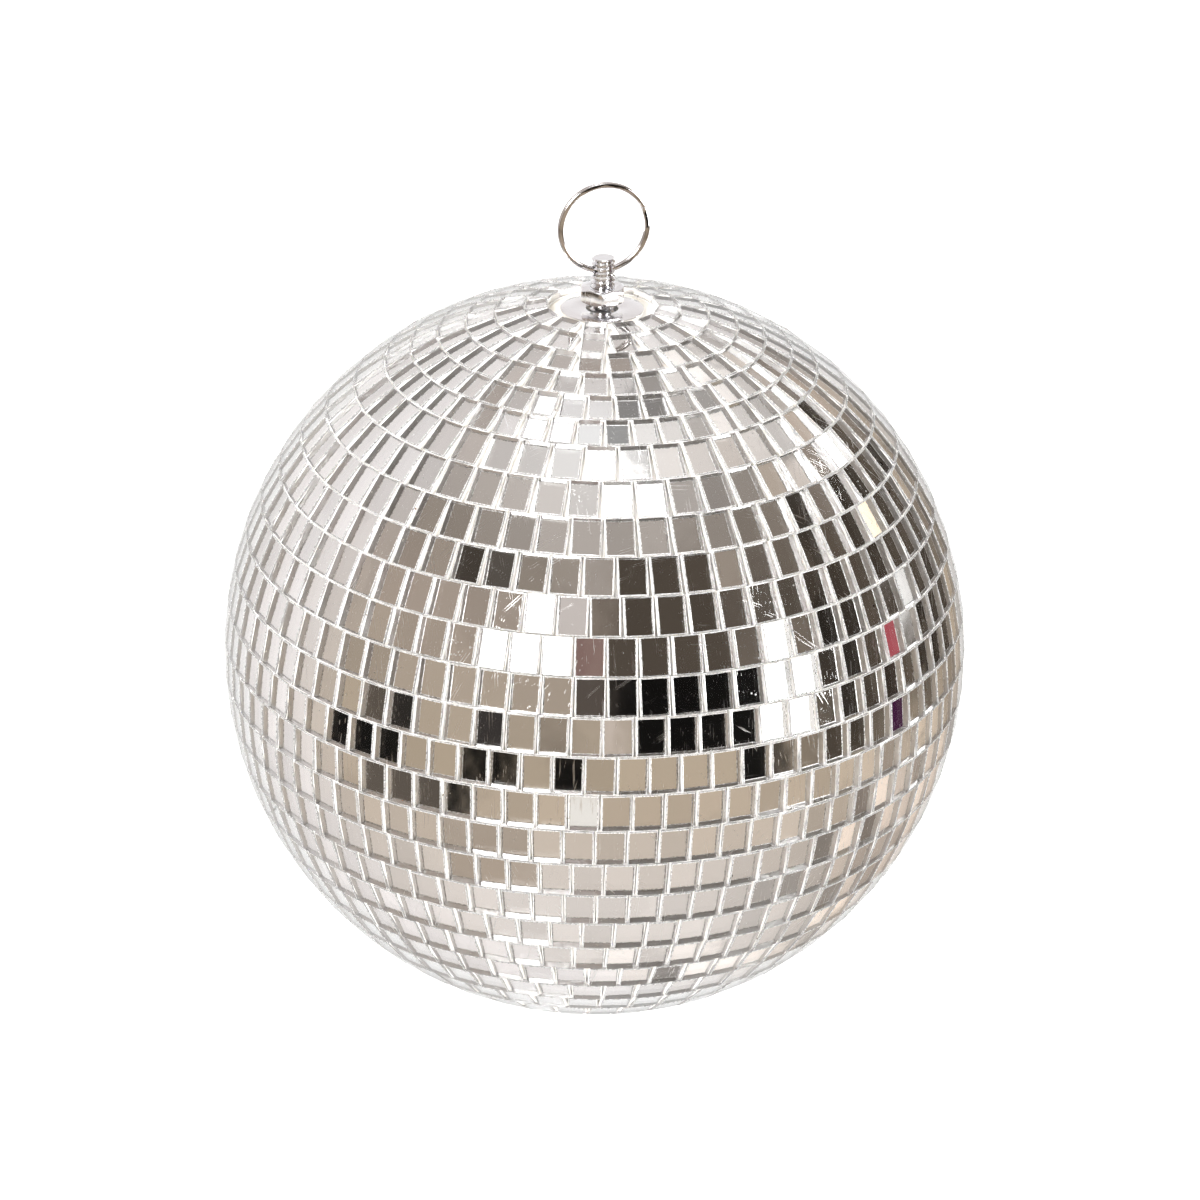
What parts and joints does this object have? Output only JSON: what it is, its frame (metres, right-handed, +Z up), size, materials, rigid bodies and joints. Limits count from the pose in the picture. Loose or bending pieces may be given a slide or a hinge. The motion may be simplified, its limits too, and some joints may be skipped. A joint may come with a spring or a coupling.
{
  "type": "mirror ball",
  "caption": "Hanging mirror ball: hollow core covered in rows of small mirror tiles, with a threaded stud, nut, washer and split ring on top.",
  "frame": {"origin": "inner top of the split ring, the point that hangs on a hook or cord", "axes": "+Z up along the stud, +X along the cross hole through the stud, +Y across the ring's plane"},
  "size_m": [0.2004, 0.2004, 0.2321],
  "materials": {
    "mirror_glass": "silvered glass with cut edges",
    "adhesive": "matt white adhesive",
    "core_plastic": "matt moulded",
    "zinc_steel": "bright zinc plated",
    "polished_washer": "polished",
    "plain_steel": "satin",
    "ring_steel": "nickel plated wire"
  },
  "bodies": {
    "ring": {"split_ring": "ring_steel"},
    "ball": {"hanger_stud": "zinc_steel", "top_washer": "polished_washer", "backing_plate": "plain_steel", "spring_washer": "plain_steel", "inner_nut": "zinc_steel", "core_upper": "core_plastic", "core_lower": "core_plastic", "adhesive_skin": "adhesive", "bottom_tiles": "mirror_glass", "bottom_tile": "mirror_glass", "mirror_row_01": "mirror_glass", "mirror_row_02": "mirror_glass", "mirror_row_03": "mirror_glass", "mirror_row_04": "mirror_glass", "mirror_row_05": "mirror_glass", "mirror_row_06": "mirror_glass", "mirror_row_07": "mirror_glass", "mirror_row_08": "mirror_glass", "mirror_row_09": "mirror_glass", "mirror_row_10": "mirror_glass", "mirror_row_11": "mirror_glass", "mirror_row_12": "mirror_glass", "mirror_row_13": "mirror_glass", "mirror_row_14": "mirror_glass", "mirror_row_15": "mirror_glass", "mirror_row_16": "mirror_glass", "mirror_row_17": "mirror_glass", "mirror_row_18": "mirror_glass", "mirror_row_19": "mirror_glass", "mirror_row_20": "mirror_glass", "mirror_row_21": "mirror_glass", "mirror_row_22": "mirror_glass", "mirror_row_23": "mirror_glass", "mirror_row_24": "mirror_glass", "mirror_row_25": "mirror_glass", "mirror_row_26": "mirror_glass", "mirror_row_27": "mirror_glass", "mirror_row_28": "mirror_glass", "mirror_row_29": "mirror_glass", "mirror_row_30": "mirror_glass", "mirror_row_31": "mirror_glass"},
    "nut": {"lock_nut": "zinc_steel"}
  },
  "joints": [
    {"name": "ball_swing", "type": "hinge", "parent": "ring", "child": "ball", "pos_m": [0, 0, -0.02266], "axis": [1, 0, 0], "range_deg": [-90, 90]},
    {"name": "nut_travel", "type": "slide", "parent": "ball", "child": "nut", "axis": [0, 0, 1], "range_m": [-0.002, 0.0027]}
  ]
}
